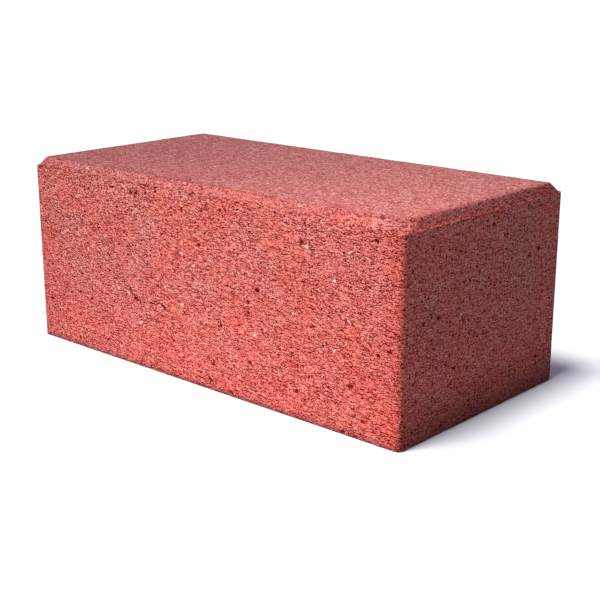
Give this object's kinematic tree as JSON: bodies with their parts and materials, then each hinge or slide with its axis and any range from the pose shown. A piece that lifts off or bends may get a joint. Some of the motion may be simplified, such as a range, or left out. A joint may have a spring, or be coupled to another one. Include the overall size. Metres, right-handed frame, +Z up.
{
  "type": "concrete paving stone",
  "caption": "Rectangular red pressed-concrete paving stone with a flat bed face, a chamfered head inside a narrow ledge, and a finely pored surface.",
  "frame": {"origin": "centre of the bed face, the flat underside that the stone lies on", "axes": "+X along the stone's length, +Y across its width, +Z up out of the wearing face"},
  "size_m": [0.2, 0.1, 0.08],
  "materials": {
    "red_concrete": "matte, open-pored semi-dry pressed concrete, pigmented red through its whole depth"
  },
  "bodies": {
    "root": {"paving_stone": "red_concrete"}
  },
  "joints": []
}
